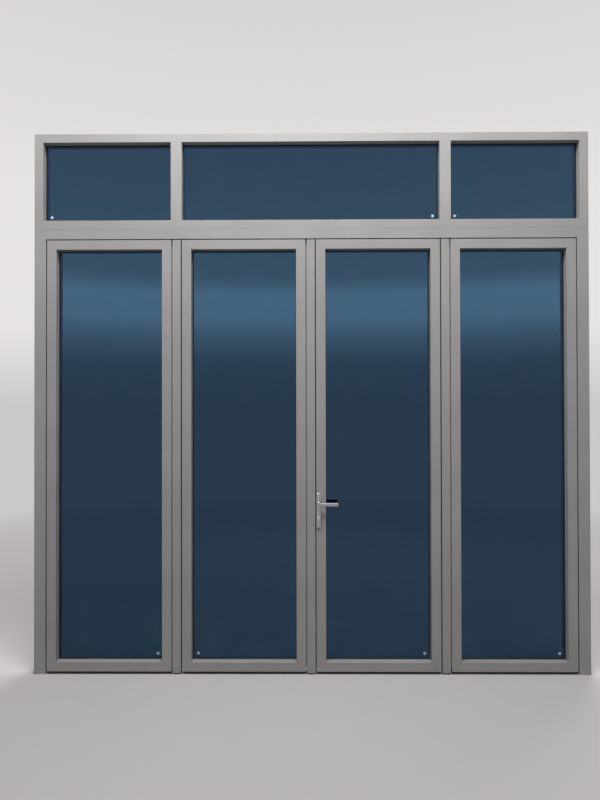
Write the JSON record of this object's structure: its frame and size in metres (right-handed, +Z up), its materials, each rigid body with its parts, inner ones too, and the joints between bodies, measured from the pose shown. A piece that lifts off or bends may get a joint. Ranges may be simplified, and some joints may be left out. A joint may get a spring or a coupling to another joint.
{
  "type": "glass entrance door",
  "caption": "Folding glazed aluminium entrance door set: tall narrow hinged leaves with moving posts between them, in a door frame under a row of fixed lights.",
  "frame": {"origin": "on the floor, in the middle of the width and of the depth", "axes": "+Z up, +X to the right as seen from indoors, +Y outdoors"},
  "size_m": [3.3, 0.155, 3.22],
  "materials": {
    "coated_aluminium": "satin",
    "hinge_aluminium": "satin",
    "grey_plastic": "matte",
    "tinted_glass": "gloss",
    "black_rubber": "matte",
    "satin_handle_metal": "satin",
    "nickelled_brass": "satin",
    "plain_steel": "satin"
  },
  "bodies": {
    "frame": {"top_jamb_left": "coated_aluminium", "top_jamb_right": "coated_aluminium", "top_sill": "coated_aluminium", "top_head": "coated_aluminium", "top_mullions": "coated_aluminium", "top_light_glass": "tinted_glass", "top_light_gaskets": "black_rubber", "top_light_beads": "coated_aluminium", "door_jamb_left": "coated_aluminium", "door_jamb_right": "coated_aluminium", "door_head": "coated_aluminium", "head_bolt_keeps": "plain_steel", "frame_closing_seals": "black_rubber", "jamb_hinge_halves": "hinge_aluminium"},
    "leaf_1": {"leaf_1_stiles": "coated_aluminium", "leaf_1_rails": "coated_aluminium", "leaf_1_glass": "tinted_glass", "leaf_1_beads": "coated_aluminium", "leaf_1_seals": "black_rubber", "leaf_1_hinge_halves": "hinge_aluminium", "meeting_post_left": "coated_aluminium", "meeting_post_left_end_caps": "grey_plastic"},
    "leaf_2": {"leaf_2_stiles": "coated_aluminium", "leaf_2_rails": "coated_aluminium", "leaf_2_glass": "tinted_glass", "leaf_2_beads": "coated_aluminium", "leaf_2_seals": "black_rubber", "leaf_2_hinge_halves": "hinge_aluminium", "meeting_post_centre": "coated_aluminium", "meeting_post_centre_end_caps": "grey_plastic", "centre_post_keeps": "plain_steel"},
    "leaf_3": {"leaf_3_stiles": "coated_aluminium", "leaf_3_rails": "coated_aluminium", "leaf_3_glass": "tinted_glass", "leaf_3_beads": "coated_aluminium", "leaf_3_seals": "black_rubber", "leaf_3_hinge_halves": "hinge_aluminium", "handle_plates": "satin_handle_metal", "lock_cylinder": "nickelled_brass", "lock_case": "plain_steel"},
    "leaf_4": {"leaf_4_stiles": "coated_aluminium", "leaf_4_rails": "coated_aluminium", "leaf_4_glass": "tinted_glass", "leaf_4_beads": "coated_aluminium", "leaf_4_seals": "black_rubber", "leaf_4_hinge_halves": "hinge_aluminium", "meeting_post_right": "coated_aluminium", "meeting_post_right_end_caps": "grey_plastic"},
    "lever": {"inside_lever": "satin_handle_metal", "outside_lever": "satin_handle_metal", "lever_spindle": "plain_steel"},
    "thumb_turn": {"thumb_turn": "satin_handle_metal"},
    "dead_bolt": {"dead_bolt": "plain_steel"},
    "drive_rail": {"lock_drive_rail": "plain_steel"},
    "left_top_bolt": {"meeting_post_left_top_bolt": "plain_steel"},
    "left_bottom_bolt": {"meeting_post_left_bottom_bolt": "plain_steel"},
    "centre_top_bolt": {"meeting_post_centre_top_bolt": "plain_steel"},
    "centre_bottom_bolt": {"meeting_post_centre_bottom_bolt": "plain_steel"},
    "right_top_bolt": {"meeting_post_right_top_bolt": "plain_steel"},
    "right_bottom_bolt": {"meeting_post_right_bottom_bolt": "plain_steel"}
  },
  "joints": [
    {"name": "leaf_1_swing", "type": "hinge", "parent": "frame", "child": "leaf_1", "pos_m": [-1.5975, 0.0465, 0], "axis": [0, 0, 1], "range_deg": [0, 90]},
    {"name": "leaf_2_fold", "type": "hinge", "parent": "leaf_1", "child": "leaf_2", "pos_m": [-0.8, 0.0465, 0], "axis": [0, 0, 1], "range_deg": [0, 170]},
    {"name": "leaf_4_swing", "type": "hinge", "parent": "frame", "child": "leaf_4", "pos_m": [1.5975, 0.0465, 0], "axis": [0, 0, -1], "range_deg": [0, 90]},
    {"name": "leaf_3_fold", "type": "hinge", "parent": "leaf_4", "child": "leaf_3", "pos_m": [0.8, 0.0465, 0], "axis": [0, 0, -1], "range_deg": [0, 170]},
    {"name": "lever_lift", "type": "hinge", "parent": "leaf_3", "child": "lever", "pos_m": [0.0445, 0, 1.016], "axis": [0, -1, 0], "range_deg": [0, 45]},
    {"name": "thumb_turn_spin", "type": "hinge", "parent": "leaf_3", "child": "thumb_turn", "pos_m": [0.0445, 0, 0.924], "axis": [0, -1, 0], "range_deg": [0, 360]},
    {"name": "dead_bolt_throw", "type": "slide", "parent": "leaf_3", "child": "dead_bolt", "axis": [-1, 0, 0], "range_m": [0, 0.02]},
    {"name": "drive_rail_rise", "type": "slide", "parent": "leaf_3", "child": "drive_rail", "axis": [0, 0, 1], "range_m": [0, 0.0181]},
    {"name": "left_top_bolt_slide", "type": "slide", "parent": "leaf_1", "child": "left_top_bolt", "axis": [0, 0, 1], "range_m": [0, 0.02]},
    {"name": "left_bottom_bolt_slide", "type": "slide", "parent": "leaf_1", "child": "left_bottom_bolt", "axis": [0, 0, -1], "range_m": [0, 0.02]},
    {"name": "centre_top_bolt_slide", "type": "slide", "parent": "leaf_2", "child": "centre_top_bolt", "axis": [0, 0, 1], "range_m": [0, 0.02]},
    {"name": "centre_bottom_bolt_slide", "type": "slide", "parent": "leaf_2", "child": "centre_bottom_bolt", "axis": [0, 0, -1], "range_m": [0, 0.02]},
    {"name": "right_top_bolt_slide", "type": "slide", "parent": "leaf_4", "child": "right_top_bolt", "axis": [0, 0, 1], "range_m": [0, 0.02]},
    {"name": "right_bottom_bolt_slide", "type": "slide", "parent": "leaf_4", "child": "right_bottom_bolt", "axis": [0, 0, -1], "range_m": [0, 0.02]}
  ],
  "couplings": [
    {"joint": "dead_bolt_throw", "follows": "thumb_turn_spin", "m_per_rad": 0.003183},
    {"joint": "drive_rail_rise", "follows": "lever_lift", "m_per_rad": 0.022918}
  ]
}
